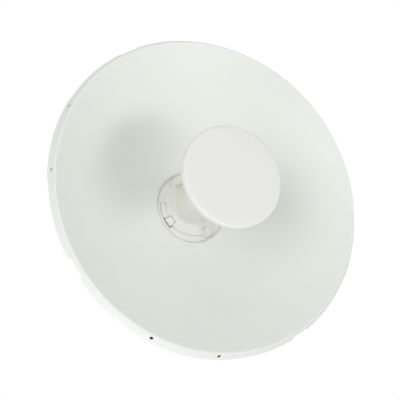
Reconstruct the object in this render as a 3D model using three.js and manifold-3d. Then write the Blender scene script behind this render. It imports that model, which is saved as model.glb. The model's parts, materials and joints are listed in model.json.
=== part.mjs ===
// Outdoor wireless bridge: a 420 mm dish, a plug-in feed with its sub-reflector, a rear radio housing,
// and a tilting pole mount. Millimetres, +Z up, the dish faces -Y. The origin is on the pole's axis, level
// with the two clamp bolts. "Forward" is a distance towards -Y and "turn" is an angle about the dish's axis,
// from the -X side towards the top.
import * as THREE from "three";
import { mergeVertices } from "three/addons/utils/BufferGeometryUtils.js";
import Module from "manifold-3d";

const wasm = await Module();
wasm.setup();

// ---- driving dimensions ----
const gap = 0.3; // left between pieces that touch
const poleToVertex = 101.5; // the dish's vertex is this far in front of the pole's axis
const dish = {
  rimRadius: 210,
  lipRadius: 202.3,
  focalLength: 124,
  sheet: 1.6,
  rimDrop: 8.1, // the turned-back rim ends this far behind the lip
  recessRadius: 49.7,
  floorRadius: 46.5,
  holeRadius: 29.9,
  segments: 48,
};
dish.lipForward = dish.lipRadius ** 2 / (4 * dish.focalLength);
const rimNotch = { halfTurn: 3.5, depth: 3.6 };
const rimHole = { radius: 2.4, turnFromDiagonal: 12 };
const lockSlot = { from: -14, to: 37, inner: 32, outer: 43.4 };
const lockTab = {
  from: -12,
  to: 6,
  inner: 32.6,
  outer: 42,
  top: 3.8,
  edge: 0.7,
  foot: -19.5, // the hook under the floor reaches back to this turn
  back: -3.9,
  press: 1,
};
const feed = {
  flangeRadius: 38.8,
  flangeTop: 5.9,
  collarRadius: 29.5,
  collarBack: -9.5,
  tubeRadius: 25.1,
  tubeTipRadius: 20,
  tubeFront: 118,
  wall: 2,
  tubeBack: -8,
  taperStart: 6,
  postTurnRadius: 38.3,
  lobeRadius: 7.4,
  lobeTop: 4,
};
const post = { radius: 4.2, footRadius: 5.6, height: 7.2 };
const horn = { radius: 12.5, bore: 11, back: 70, front: 116 };
const disc = { radius: 65, front: 135.3, back: 126.3, edgeRound: 3.5, wall: 1.8 };
const housing = {
  width: 112,
  height: 150,
  corner: 16,
  front: -1.9,
  back: -30,
  wall: 2.4,
  plate: 3,
  seal: 0.7,
  bossRadius: 47,
  bossBack: -10.5,
};
const board = { back: -12.6, front: -11 };
const door = { width: 39, top: -42, thickness: 2.2, depth: 14.6, cableRadius: 4, cableForward: 9 };
const jack = { width: 16, mouth: -50, top: -29, back: -27.3 };
const lightGuide = { x: -27, z: -58, width: 8, height: 3 };
const resetButton = { x: 30, z: -58, radius: 2.2, proud: 0.6, collarRadius: 3.4 };
const dishScrew = { x: 40, z: 40, radius: 2, headRadius: 4, length: 6, spacerRadius: 4.5 };
const housingScrew = { x: 46, z: 65, radius: 2, headRadius: 3.9, length: 14, recess: 3, postRadius: 5 };
const yokeScrew = { x: 16, z: 36, radius: 2, headRadius: 4.2, length: 3 };
const pivot = { behindVertex: 51.5, height: 14 };
const bolt = { radius: 4, spacing: 44, headRadius: 9.5, end: -58 };
const poleRadius = 24;
const bracket = { halfWidth: 56, halfHeight: 38, front: 34, plate: 3, reach: 24, chamfer: 9, vAngle: 60 };
const yoke = { halfWidth: 28, plate: 3, halfHeight: 45, lockRadius: 26, lockBolt: 3, tilt: 15 };
const nut = { hexagon: 7.4, flange: 9, height: 8 };

const degrees = (angle) => (angle * Math.PI) / 180;

// ---- materials ----
function finish(color, roughness, metalness = 0) {
  return new THREE.MeshStandardMaterial({ color, roughness, metalness });
}
const dishPaint = finish("#e2e4dc", 0.55);
const feedPlastic = finish("#e7e7dd", 0.5);
const discPlastic = finish("#e8e9e4", 0.45);
const housingPlastic = finish("#e4e5e0", 0.5);
const bracketPaint = finish("#c9cbca", 0.5, 0.2);
const zincSteel = finish("#b9bcc0", 0.35, 0.9);
const aluminium = finish("#c4c6c8", 0.4, 0.9);
const rubber = finish("#2a2b2c", 0.85);
const boardGreen = finish("#2f6a45", 0.6);
const clearPlastic = finish("#d9ece4", 0.15);
const jackShell = finish("#1d1e20", 0.5);

// ---- solids ----
// A closed geometry as a solid whose faces point outwards.
function solid(geometry) {
  const bare = geometry.clone();
  bare.deleteAttribute("normal");
  bare.deleteAttribute("uv");
  const merged = mergeVertices(bare, 1e-4);
  const index = Array.from(merged.index.array);
  const corners = [];
  for (let i = 0; i < index.length; i += 3) {
    const [a, b, c] = index.slice(i, i + 3);
    if (a !== b && b !== c && c !== a) corners.push([a, b, c]);
  }
  const made = (triangles) =>
    new wasm.Manifold(
      new wasm.Mesh({
        numProp: 3,
        vertProperties: merged.attributes.position.array,
        triVerts: new Uint32Array(triangles.flat()),
      }),
    );
  const body = made(corners);
  return body.volume() < 0 ? made(corners.map(([a, b, c]) => [a, c, b])) : body;
}

function join(first, ...others) {
  return others.reduce((body, other) => body.add(other), first);
}

function cut(first, ...others) {
  return others.reduce((body, other) => body.subtract(other), first);
}

// A body turned about the dish's axis from [radius, forward] points.
function turned(profile, segments = 30) {
  const points = profile.map(([radius, forward]) => new THREE.Vector2(radius, -forward));
  points.push(points[0].clone());
  return solid(new THREE.LatheGeometry(points, segments));
}

// A shape extruded along its own normal, laid out by where its x, y and normal point.
function extruded(shape, depth, x, y, normal, start) {
  const geometry = new THREE.ExtrudeGeometry(shape, { depth, bevelEnabled: false, curveSegments: 4 });
  const basis = new THREE.Matrix4().makeBasis(x, y, normal);
  geometry.applyMatrix4(basis.setPosition(start));
  return solid(geometry);
}

const right = new THREE.Vector3(1, 0, 0);
const forwards = new THREE.Vector3(0, -1, 0);
const up = new THREE.Vector3(0, 0, 1);

// A plate facing forward, from an outline in x and z.
function facingPlate(shape, back, front) {
  const start = new THREE.Vector3(0, -back, 0);
  return extruded(shape, front - back, right, up, forwards, start);
}

// A plate facing sideways, from an outline in forward and z.
function sidePlate(shape, left, rightSide) {
  const start = new THREE.Vector3(rightSide, 0, 0);
  return extruded(shape, rightSide - left, forwards, up, right.clone().negate(), start);
}

// A level plate, from an outline in x and forward.
function levelPlate(shape, bottom, top) {
  const start = new THREE.Vector3(0, 0, top);
  return extruded(shape, top - bottom, right, forwards, up.clone().negate(), start);
}

function block(x1, x2, back, front, z1, z2) {
  const geometry = new THREE.BoxGeometry(x2 - x1, front - back, z2 - z1);
  geometry.translate((x1 + x2) / 2, -(back + front) / 2, (z1 + z2) / 2);
  return solid(geometry);
}

// A round or, with six sides, a hexagonal bar along the dish's axis.
function barForward(radius, back, front, x = 0, z = 0, sides = 14) {
  const geometry = new THREE.CylinderGeometry(radius, radius, front - back, sides);
  geometry.translate(x, -(back + front) / 2, z);
  return solid(geometry);
}

function barAcross(radius, left, rightSide, forward = 0, z = 0, sides = 14) {
  const geometry = new THREE.CylinderGeometry(radius, radius, rightSide - left, sides);
  geometry.rotateZ(Math.PI / 2);
  geometry.translate((left + rightSide) / 2, -forward, z);
  return solid(geometry);
}

function barUpright(radius, bottom, top, x = 0, forward = 0, sides = 20) {
  const geometry = new THREE.CylinderGeometry(radius, radius, top - bottom, sides);
  geometry.rotateX(Math.PI / 2);
  geometry.translate(x, -forward, (top + bottom) / 2);
  return solid(geometry);
}

function polygon(points) {
  return new THREE.Shape(points.map(([x, y]) => new THREE.Vector2(x, y)));
}

function roundedRectangle(width, height, corner) {
  const shape = new THREE.Shape();
  const x = width / 2 - corner;
  const y = height / 2 - corner;
  shape.absarc(x, y, corner, 0, Math.PI / 2);
  shape.absarc(-x, y, corner, Math.PI / 2, Math.PI);
  shape.absarc(-x, -y, corner, Math.PI, 1.5 * Math.PI);
  shape.absarc(x, -y, corner, 1.5 * Math.PI, 2 * Math.PI);
  return shape;
}

// A block bounded by two radii and two turns about the dish's axis.
function sector(inner, outer, fromTurn, toTurn, back, front) {
  const start = Math.PI - degrees(toTurn);
  const end = Math.PI - degrees(fromTurn);
  const shape = new THREE.Shape();
  shape.absarc(0, 0, outer, start, end, false);
  shape.absarc(0, 0, inner, end, start, true);
  return facingPlate(shape, back, front);
}

// The same sector twice, half a turn apart.
function sectorPair(inner, outer, fromTurn, toTurn, back, front) {
  const opposite = sector(inner, outer, fromTurn + 180, toTurn + 180, back, front);
  return join(sector(inner, outer, fromTurn, toTurn, back, front), opposite);
}

// ---- the dish ----
function dishSurface(radius) {
  return radius ** 2 / (4 * dish.focalLength);
}

// The point on the back of the sheet behind a point of the reflecting surface.
function dishBack(radius) {
  const slope = radius / (2 * dish.focalLength);
  const length = Math.hypot(1, slope);
  return [radius + (dish.sheet * slope) / length, dishSurface(radius) - dish.sheet / length];
}

function reflectorDish() {
  const { lipRadius, lipForward, rimRadius, rimDrop, sheet } = dish;
  const steps = 5;
  const radii = Array.from(
    { length: steps + 1 },
    (_, i) => dish.recessRadius + ((lipRadius - dish.recessRadius) * i) / steps,
  );
  const rimBack = lipForward - rimDrop;
  const profile = [
    [dish.holeRadius, 0],
    [dish.floorRadius, 0],
    ...radii.map((radius) => [radius, dishSurface(radius)]),
    [lipRadius + 1, lipForward + 0.7],
    [lipRadius + 2.1, lipForward + 0.3],
    [rimRadius, rimBack],
    [rimRadius - 1.3, rimBack - 0.9],
    [lipRadius + 0.9, lipForward - 1.1],
    ...radii.slice(1, -1).reverse().map(dishBack),
    [dish.recessRadius + 1.4, dishSurface(dish.recessRadius) - sheet],
    [dish.floorRadius + 1.2, -sheet],
    [dish.holeRadius, -sheet],
  ];
  let body = turned(profile, dish.segments);
  const slots = sectorPair(lockSlot.inner, lockSlot.outer, lockSlot.from, lockSlot.to, -4, 4);
  body = cut(body, slots);
  for (let turn = 0; turn < 360; turn += 90) {
    const edge = rimBack - 3;
    const from = turn - rimNotch.halfTurn;
    const to = turn + rimNotch.halfTurn;
    body = cut(body, sector(lipRadius + 1.6, rimRadius + 4, from, to, edge, rimBack + rimNotch.depth));
    for (const side of [-1, 1]) {
      body = cut(body, rimHoleTool(turn + 45 + side * rimHole.turnFromDiagonal));
    }
  }
  return body;
}

// A short bar square to the turned-back rim, to drill one of its holes.
function rimHoleTool(turn) {
  const acrossRim = new THREE.Vector3(dish.rimDrop, 0, 0);
  acrossRim.y = -(dish.rimRadius - dish.lipRadius - 2);
  const geometry = new THREE.CylinderGeometry(rimHole.radius, rimHole.radius, 8, 8);
  geometry.applyQuaternion(
    new THREE.Quaternion().setFromUnitVectors(new THREE.Vector3(0, 1, 0), acrossRim.normalize()),
  );
  const middle = (dish.rimRadius + dish.lipRadius + 1) / 2;
  geometry.translate(middle, -(dish.lipForward - dish.rimDrop / 2), 0);
  geometry.rotateY(Math.PI + degrees(turn));
  return solid(geometry);
}

// ---- the feed ----
function feedBase() {
  const { flangeRadius, flangeTop, collarRadius, collarBack, tubeRadius } = feed;
  const bore = tubeRadius + gap;
  const flange = turned([
    [bore, collarBack],
    [collarRadius, collarBack],
    [collarRadius, gap],
    [flangeRadius, gap],
    [flangeRadius, 2.6],
    [flangeRadius - 1, 3.3],
    [tubeRadius + 2.4, flangeTop - 0.8],
    [tubeRadius + 0.9, flangeTop + 0.2],
    [bore, flangeTop + 1.2],
  ]);
  const groove = turned([
    [collarRadius - 1.5, -7],
    [collarRadius + 1, -7],
    [collarRadius + 1, -5],
    [collarRadius - 1.5, -5],
  ]);
  const lobes = [1, -1].map((side) =>
    barForward(feed.lobeRadius, gap, feed.lobeTop, 0, side * feed.postTurnRadius),
  );
  const tabRoom = sectorPair(lockSlot.inner, 60, lockTab.from - 1, lockSlot.to, -2, 12);
  return cut(join(flange, ...lobes), barForward(bore, collarBack - 2, 14, 0, 0, 30), groove, tabRoom);
}

function feedPost() {
  const { radius, footRadius, height } = post;
  return turned(
    [
      [0, 0],
      [footRadius, 0],
      [footRadius, 1.1],
      [radius, 1.6],
      [radius, height - 0.8],
      [radius - 0.7, height],
      [0, height],
    ],
    14,
  );
}

function feedTube() {
  const { tubeRadius, tubeTipRadius, tubeBack, tubeFront, taperStart, wall } = feed;
  return turned([
    [tubeRadius - wall, tubeBack],
    [tubeRadius, tubeBack],
    [tubeRadius, taperStart],
    [tubeTipRadius, tubeFront],
    [tubeTipRadius - wall, tubeFront],
    [tubeRadius - wall, taperStart],
  ]);
}

function feedSeal() {
  const middle = feed.collarRadius - 0.5;
  const ring = [
    [middle - 0.7, -6],
    [middle, -6.7],
    [middle + 0.7, -6],
    [middle, -5.3],
  ];
  return turned(ring, 28);
}

// The tab that stands in the dish's slot: its foot hooks behind the floor and a press frees it to turn.
function lockTabBody() {
  const { from, to, inner, outer, top, edge, foot, back } = lockTab;
  const stem = sector(inner, outer, from, to, back, top - edge);
  const crown = sector(inner + edge, outer - edge, from + 1, to - 1, top - edge, top);
  const hook = sector(inner, outer, foot, from + 1, back, -dish.sheet - gap);
  return join(stem, crown, hook);
}

function feedBoard() {
  const outline = [
    [-22.5, -6],
    [22.5, -6],
    [22.5, 4],
    [19.8, 64],
    [-19.8, 64],
    [-22.5, 4],
  ];
  return levelPlate(polygon(outline), -1.6, 0);
}

function shieldCan() {
  return block(-14, 14, 6, 54, gap, 4.5);
}

function feedHorn() {
  const { radius, bore, back, front } = horn;
  return turned(
    [
      [bore, back],
      [bore, front],
      [radius, front],
      [radius, back + 3],
      [feed.tubeTipRadius - 0.4, back + 3],
      [feed.tubeTipRadius - 0.4, back],
    ],
    28,
  );
}

function dielectricCone() {
  return turned(
    [
      [0, 98],
      [6, 104],
      [10.6, 110],
      [10.6, 116.3],
      [14, 118],
      [30, 129.2],
      [30, 130],
      [0, 130],
    ],
    28,
  );
}

function subreflectorPlate() {
  return turned(
    [
      [0, 130.4],
      [58, 130.4],
      [60.8, 129.4],
      [61.6, 130.2],
      [58.5, 132],
      [0, 132],
    ],
    28,
  );
}

// The funnel that closes the back of the disc and clips over the tube.
function subreflectorHousing() {
  const { tubeTipRadius, tubeFront } = feed;
  const wall = 1.6;
  return turned([
    [tubeTipRadius + 0.9, tubeFront - 8],
    [tubeTipRadius + 2.4, tubeFront - 8],
    [tubeTipRadius + 2.6, tubeFront - 1],
    [34, 121.5],
    [disc.radius - 0.2, disc.back],
    [disc.radius - 0.2, disc.back + 2.2],
    [disc.radius - 2, disc.back + 2.2],
    [34, 121.5 + wall],
    [tubeTipRadius + 1, tubeFront + 1.4],
    [tubeTipRadius + gap, tubeFront + gap],
  ]);
}

function subreflectorCover() {
  const { radius, front, back, edgeRound, wall } = disc;
  const dome = 0.5;
  const round = [0, 30, 60, 90].map((angle) => [
    radius - edgeRound + edgeRound * Math.cos(degrees(angle)),
    front - edgeRound + edgeRound * Math.sin(degrees(angle)),
  ]);
  return turned(
    [
      [radius - wall, back + 2.5],
      [radius, back + 2.5],
      ...round,
      [0, front + dome],
      [0, front + dome - wall],
      [radius - edgeRound, front - wall],
      [radius - wall, front - edgeRound],
    ],
    36,
  );
}

// ---- the rear housing ----
function housingGasket() {
  const { width, height, corner, wall, front, plate, seal } = housing;
  const face = front - plate - gap;
  const outer = roundedRectangle(width - 0.8, height - 0.8, corner - 0.4);
  const inner = roundedRectangle(width - 2 * wall, height - 2 * wall, corner - wall);
  return cut(facingPlate(outer, face - seal, face), facingPlate(inner, face - seal - 1, face + 1));
}

function housingFront() {
  const { width, height, corner, front, plate, bossRadius, bossBack } = housing;
  const face = facingPlate(roundedRectangle(width, height, corner), front - plate, front);
  const boss = barForward(bossRadius, bossBack, front - 0.5, 0, 0, 30);
  const pocketFloor = lockTab.back - lockTab.press - gap;
  const inner = lockSlot.inner - 0.4;
  const outer = lockSlot.outer + 0.4;
  const pockets = sectorPair(inner, outer, lockTab.foot - 2, lockSlot.to + 1, pocketFloor, 0);
  const screwHoles = placesAtCorners(dishScrew.x, dishScrew.z).map(([x, z]) =>
    barForward(dishScrew.radius + gap, -20, 4, x, z, 12),
  );
  const hole = barForward(dish.holeRadius, -20, 4, 0, 0, 30);
  return cut(join(face, boss), pockets, hole, ...screwHoles);
}

function rearHousing() {
  const { width, height, corner, back, wall, front, plate } = housing;
  const rim = front - plate - housing.seal - 2 * gap;
  const shell = facingPlate(roundedRectangle(width, height, corner), back, rim);
  const inside = roundedRectangle(width - 2 * wall, height - 2 * wall, corner - wall);
  const hollow = facingPlate(inside, back + wall, rim + 2);
  const { radius, headRadius, postRadius, recess } = housingScrew;
  const corners = placesAtCorners(housingScrew.x, housingScrew.z);
  const posts = corners.map(([x, z]) => barForward(postRadius, back + 1, rim, x, z, 12));
  const bores = corners.map(([x, z]) => {
    const thread = barForward(radius + gap, back - 2, rim + 2, x, z, 12);
    return join(thread, barForward(headRadius + 0.5, back - 2, back + recess, x, z, 16));
  });
  return cut(join(cut(shell, hollow), ...posts), ...doorWays(), ...bores, ...smallWays());
}

// What the cable door's cover and its lip leave open in the back and the bottom of the housing.
function doorWays() {
  const { back, wall, height } = housing;
  const half = door.width / 2;
  const bottom = -height / 2;
  return [
    block(-half, half, back - 2, back + wall + 1, bottom - 2, door.top),
    block(-half, half, back - 2, back + door.depth + 0.4, bottom - 2, bottom + wall + 1),
  ];
}

// The windows for the status lights and the reset button.
function smallWays() {
  const { back } = housing;
  const { x, z, width, height } = lightGuide;
  const halfWidth = width / 2;
  const halfHeight = height / 2;
  return [
    block(x - halfWidth, x + halfWidth, back - 2, back + 4, z - halfHeight, z + halfHeight),
    barForward(resetButton.radius + gap, back - 2, back + 4, resetButton.x, resetButton.z, 16),
  ];
}

function cableDoor() {
  const { width, top, thickness, depth, cableRadius, cableForward } = door;
  const { back, wall } = housing;
  const half = width / 2 - gap;
  const bottom = -housing.height / 2;
  const cover = block(-half, half, back, back + thickness, bottom, top - gap);
  const lip = block(-half, half, back, back + depth, bottom, bottom + wall);
  const middle = back + cableForward;
  const cable = barUpright(cableRadius, bottom - 2, bottom + 6, 0, middle, 20);
  const cableWay = block(-cableRadius, cableRadius, middle, back + 20, bottom - 2, bottom + 6);
  const grip = [6.6, 10, 13.4].map((rise) =>
    block(-9, 9, back - 0.8, back + 0.5, bottom + rise, bottom + rise + 1.6),
  );
  return cut(join(cover, lip, ...grip), cable, cableWay);
}

function ethernetJack() {
  const { width, mouth, top, back } = jack;
  const front = board.back - gap;
  const shell = block(-width / 2, width / 2, back, front, mouth, top);
  const socket = block(-6, 6, back + 3, back + 10, mouth - 2, mouth + 15);
  const latch = block(-2.2, 2.2, back + 9, back + 11.5, mouth - 2, mouth + 15);
  return cut(shell, socket, latch);
}

// Four places at the corners of a rectangle.
function placesAtCorners(x, z) {
  return [
    [-x, z],
    [x, z],
    [-x, -z],
    [x, -z],
  ];
}

// A pan-head screw along the dish's axis, its head towards the back and its seat at the origin.
function panScrew({ radius, headRadius, length }) {
  return turned(
    [
      [0, -0.62 * headRadius],
      [0.7 * headRadius, -0.55 * headRadius],
      [headRadius, -0.25 * headRadius],
      [headRadius, 0],
      [radius, 0],
      [radius, length],
      [0, length],
    ],
    10,
  );
}

// ---- the pole mount ----
// A level outline with a V cut in its pole side. Side is 1 for the front half and -1 for the rear half.
function vFlangeShape(side) {
  const { chamfer } = bracket;
  const base = bracket.front - bracket.plate;
  const apex = poleRadius / Math.sin(degrees(bracket.vAngle)) + gap;
  const mouth = base - bracket.reach;
  const halfMouth = (apex - mouth) * Math.tan(degrees(bracket.vAngle));
  const half = bracket.halfWidth;
  return polygon(
    [
      [-half, base + 0.5],
      [-half, mouth + chamfer],
      [-half + chamfer, mouth],
      [-halfMouth, mouth],
      [0, apex],
      [halfMouth, mouth],
      [half - chamfer, mouth],
      [half, mouth + chamfer],
      [half, base + 0.5],
    ].map(([x, forward]) => [x, side * forward]),
  );
}

// The plate with a V flange above and below that both halves of the clamp share.
function clampHalf(side) {
  const { halfWidth, halfHeight, front, plate } = bracket;
  const near = side * (front - plate);
  const far = side * front;
  const face = facingPlate(
    roundedRectangle(2 * halfWidth, 2 * halfHeight, 6),
    Math.min(near, far),
    Math.max(near, far),
  );
  const flanges = [-1, 1].map((end) => {
    const outer = end * halfHeight;
    const inner = end * (halfHeight - plate);
    return levelPlate(vFlangeShape(side), Math.min(outer, inner), Math.max(outer, inner));
  });
  const boltHoles = [-1, 1].map((end) =>
    barForward(bolt.radius + gap, -60, 60, end * bolt.spacing, 0, 20),
  );
  return cut(join(face, ...flanges), ...boltHoles);
}

const pivotForward = poleToVertex - pivot.behindVertex;

// The curved slot that the lock bolt slides in, as an outline in forward and z.
function tiltSlotShape(halfWidth) {
  const turn = degrees(yoke.tilt);
  const down = -Math.PI / 2;
  const { lockRadius } = yoke;
  const shape = new THREE.Shape();
  const end = (side) => [
    pivotForward + lockRadius * Math.cos(down + side * turn),
    pivot.height + lockRadius * Math.sin(down + side * turn),
  ];
  shape.absarc(pivotForward, pivot.height, lockRadius + halfWidth, down - turn, down + turn, false);
  shape.absarc(...end(1), halfWidth, down + turn, down + turn + Math.PI, false);
  shape.absarc(pivotForward, pivot.height, lockRadius - halfWidth, down + turn, down - turn, true);
  shape.absarc(...end(-1), halfWidth, down - turn + Math.PI, down - turn + 2 * Math.PI, false);
  return shape;
}

function poleBracket() {
  const { front, plate, halfHeight } = bracket;
  const earInner = yoke.halfWidth + gap;
  const earOuter = earInner + plate;
  const nose = new THREE.Shape();
  nose.moveTo(front - 1, halfHeight - 6);
  nose.lineTo(front - 1, -halfHeight + 14);
  const lockHeight = pivot.height - yoke.lockRadius;
  nose.lineTo(pivotForward - 2, lockHeight - 8);
  nose.absarc(pivotForward + 6.2, lockHeight + 1.2, 6.6, degrees(-70), degrees(10), false);
  nose.absarc(pivotForward, pivot.height, 11, degrees(-10), degrees(100), false);
  const ears = [-1, 1].map((side) => {
    const left = side < 0 ? -earOuter : earInner;
    return sidePlate(nose, left, left + plate);
  });
  const slotTool = sidePlate(tiltSlotShape(yoke.lockBolt + 0.4), -earOuter - 2, earOuter + 2);
  const pivotHole = barAcross(bolt.radius + gap, -earOuter - 2, earOuter + 2, pivotForward, pivot.height);
  return cut(join(clampHalf(1), ...ears), slotTool, pivotHole);
}

function carriageBolt() {
  const { radius, headRadius, end } = bolt;
  const seat = bracket.front + gap;
  return turned(
    [
      [0, end],
      [radius - 0.8, end],
      [radius, end + 0.8],
      [radius, seat],
      [headRadius, seat],
      [headRadius - 0.6, seat + 1.4],
      [0.7 * headRadius, seat + 3.4],
      [0.35 * headRadius, seat + 4.5],
      [0, seat + 4.8],
    ],
    14,
  );
}

// A serrated flange nut for the clamp, its seat at the origin and its top towards the back.
function flangeNut() {
  const { hexagon, flange, height } = nut;
  const bore = bolt.radius + gap;
  const base = turned(
    [
      [bore, 0],
      [flange, 0],
      [flange, -1.2],
      [hexagon - 0.8, -2.2],
      [bore, -2.2],
    ],
    16,
  );
  return cut(join(base, barForward(hexagon, -height, -1, 0, 0, 6)), barForward(bore, -12, 4, 0, 0, 12));
}

// The outer faces of the bracket's ears, where the bolts across them bear.
const earFace = yoke.halfWidth + 2 * gap + bracket.plate;

function pivotBolt() {
  const head = barAcross(nut.hexagon, -earFace - 5.3, -earFace, 0, 0, 6);
  return join(head, barAcross(bolt.radius, -earFace - 1, earFace + 9, 0, 0, 20));
}

function pivotNut() {
  const hexagon = barAcross(nut.hexagon, earFace, earFace + 6.5, 0, 0, 6);
  const washer = barAcross(nut.hexagon + 1, earFace, earFace + 1.2);
  return cut(join(hexagon, washer), barAcross(bolt.radius + gap, 0, earFace + 20));
}

// The lock bolt for the +X ear. The -X one is turned half round.
function lockBolt() {
  const washer = barAcross(7.6, earFace, earFace + 1.4, 0, 0, 24);
  const head = barAcross(5.8, earFace + 1, earFace + 5.6, 0, 0, 6);
  return join(washer, head, barAcross(yoke.lockBolt, yoke.halfWidth - 10, earFace + 1, 0, 0, 16));
}

function lockNut() {
  const inner = yoke.halfWidth - yoke.plate - gap;
  return cut(barAcross(5.8, inner - 5, inner, 0, 0, 6), barAcross(yoke.lockBolt + gap, 0, 40, 0, 0, 16));
}

function tiltYoke() {
  const { halfWidth, plate, halfHeight } = yoke;
  const lockHeight = pivot.height - yoke.lockRadius;
  const front = poleToVertex + housing.back - gap;
  const back = front - plate;
  const face = facingPlate(roundedRectangle(2 * halfWidth, 2 * halfHeight, 5), back, front);
  const arm = new THREE.Shape();
  arm.moveTo(front - 1, pivot.height + 16);
  arm.lineTo(front - 1, lockHeight - 12);
  arm.absarc(pivotForward, lockHeight, 6.8, degrees(-70), degrees(-180), true);
  arm.absarc(pivotForward, pivot.height, 9.5, degrees(180), degrees(80), true);
  const arms = [-1, 1].map((side) => {
    const left = side < 0 ? -halfWidth : halfWidth - plate;
    return sidePlate(arm, left, left + plate);
  });
  const pivotHole = barAcross(bolt.radius + gap, -40, 40, pivotForward, pivot.height);
  const lockHole = barAcross(yoke.lockBolt + gap, -40, 40, pivotForward, lockHeight, 16);
  const screwHoles = placesAtCorners(yokeScrew.x, yokeScrew.z).map(([x, z]) =>
    barForward(yokeScrew.radius + gap, back - 2, front + 2, x, z, 12),
  );
  const window = facingPlate(roundedRectangle(24, 44, 5), back - 2, front + 2);
  return cut(join(face, ...arms), pivotHole, lockHole, window, ...screwHoles);
}

function bubbleLevel() {
  const body = barUpright(7, 0, 6.4, 0, 0, 24);
  const vial = barUpright(5, 6, 7.4, 0, 0, 20);
  return join(body, vial);
}

// ---- assembly ----
function geometryOf(body) {
  const { numProp, vertProperties, triVerts } = body.getMesh();
  const positions = new Float32Array((vertProperties.length / numProp) * 3);
  for (let i = 0; i < positions.length / 3; i++) {
    positions.set(vertProperties.subarray(i * numProp, i * numProp + 3), i * 3);
  }
  const geometry = new THREE.BufferGeometry();
  geometry.setAttribute("position", new THREE.BufferAttribute(positions, 3));
  geometry.setIndex(new THREE.BufferAttribute(triVerts, 1));
  return geometry;
}

function addPiece(group, name, body, material, x = 0, forward = 0, z = 0) {
  const mesh = new THREE.Mesh(geometryOf(body), material);
  mesh.name = name;
  mesh.position.set(x, -forward, z);
  group.add(mesh);
  return mesh;
}

const bridge = new THREE.Group();

// The half of the mount that stays on the pole.
const poleMount = new THREE.Group();
bridge.add(poleMount);
addPiece(poleMount, "pole_bracket", poleBracket(), bracketPaint);
addPiece(poleMount, "carriage_bolt_left", carriageBolt(), zincSteel, -bolt.spacing);
addPiece(poleMount, "carriage_bolt_right", carriageBolt(), zincSteel, bolt.spacing);
addPiece(poleMount, "pivot_bolt", pivotBolt(), zincSteel, 0, pivotForward, pivot.height);
addPiece(poleMount, "pivot_nut", pivotNut(), zincSteel, 0, pivotForward, pivot.height);
addPiece(poleMount, "bubble_level", bubbleLevel(), clearPlastic, 40, 19, bracket.halfHeight + gap);

// The half that closes on the pole from behind.
const jawGroup = new THREE.Group();
bridge.add(jawGroup);
addPiece(jawGroup, "clamp_jaw", clampHalf(-1), bracketPaint);
addPiece(jawGroup, "clamp_nut_left", flangeNut(), zincSteel, -bolt.spacing, -bracket.front - gap);
addPiece(jawGroup, "clamp_nut_right", flangeNut(), zincSteel, bolt.spacing, -bracket.front - gap);

// Everything that tilts. The yoke and its bolts are placed from the pole, the rest from the vertex.
const tilting = new THREE.Group();
bridge.add(tilting);
addPiece(tilting, "tilt_yoke", tiltYoke(), bracketPaint);
const lockHeight = pivot.height - yoke.lockRadius;
addPiece(tilting, "lock_bolt_right", lockBolt(), zincSteel, 0, pivotForward, lockHeight);
addPiece(tilting, "lock_nut_right", lockNut(), zincSteel, 0, pivotForward, lockHeight);
addPiece(tilting, "lock_bolt_left", lockBolt(), zincSteel, 0, pivotForward, lockHeight).rotation.z = Math.PI;
addPiece(tilting, "lock_nut_left", lockNut(), zincSteel, 0, pivotForward, lockHeight).rotation.z = Math.PI;

const atVertex = new THREE.Group();
atVertex.position.y = -poleToVertex;
tilting.add(atVertex);
addPiece(atVertex, "reflector_dish", reflectorDish(), dishPaint);
addPiece(atVertex, "housing_front", housingFront(), housingPlastic);
addPiece(atVertex, "rear_housing", rearHousing(), housingPlastic);
addPiece(atVertex, "housing_gasket", housingGasket(), rubber);
addPiece(atVertex, "port_board", block(-40, 40, board.back, board.front, -62, 26), boardGreen);
addPiece(atVertex, "power_module", block(-30, 30, -20, board.back - gap, -18, 18), jackShell);
addPiece(atVertex, "feed_connector", barForward(9, board.front + gap, -6.4, 0, 0, 24), jackShell);
addPiece(atVertex, "ethernet_jack", ethernetJack(), jackShell);
const lightHalf = lightGuide.width / 2 - gap;
const lightRise = lightGuide.height / 2 - gap;
const boardBack = board.back - gap;
const lightBody = block(-lightHalf, lightHalf, housing.back + 0.1, boardBack, -lightRise, lightRise);
addPiece(atVertex, "light_guide", lightBody, clearPlastic, lightGuide.x, 0, lightGuide.z);
placesAtCorners(dishScrew.x, dishScrew.z).forEach(([x, z], i) => {
  const { radius, spacerRadius } = dishScrew;
  const top = dishSurface(Math.hypot(x, z) - spacerRadius) - dish.sheet - gap;
  const hole = barForward(radius + gap, -9, 9, 0, 0, 10);
  const spacer = cut(barForward(spacerRadius, housing.front + gap, top, 0, 0, 12), hole);
  const seat = housing.front - housing.plate - gap;
  addPiece(atVertex, `dish_spacer_${i + 1}`, spacer, aluminium, x, 0, z);
  addPiece(atVertex, `dish_screw_${i + 1}`, panScrew(dishScrew), zincSteel, x, seat, z);
});
placesAtCorners(housingScrew.x, housingScrew.z).forEach(([x, z], i) => {
  const seat = housing.back + housingScrew.recess - gap;
  addPiece(atVertex, `housing_screw_${i + 1}`, panScrew(housingScrew), zincSteel, x, seat, z);
});
placesAtCorners(yokeScrew.x, yokeScrew.z).forEach(([x, z], i) => {
  const seat = housing.back - yoke.plate - 2 * gap;
  addPiece(atVertex, `yoke_screw_${i + 1}`, panScrew(yokeScrew), zincSteel, x, seat, z);
});
addPiece(atVertex, "cable_door", cableDoor(), housingPlastic);
const buttonSeat = housing.back + housing.wall + gap;
const button = join(
  barForward(resetButton.radius, housing.back - resetButton.proud, board.back - 1.4, 0, 0, 16),
  barForward(resetButton.collarRadius, buttonSeat, buttonSeat + 1.4, 0, 0, 16),
);
addPiece(atVertex, "reset_button", button, rubber, resetButton.x, 0, resetButton.z);

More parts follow.
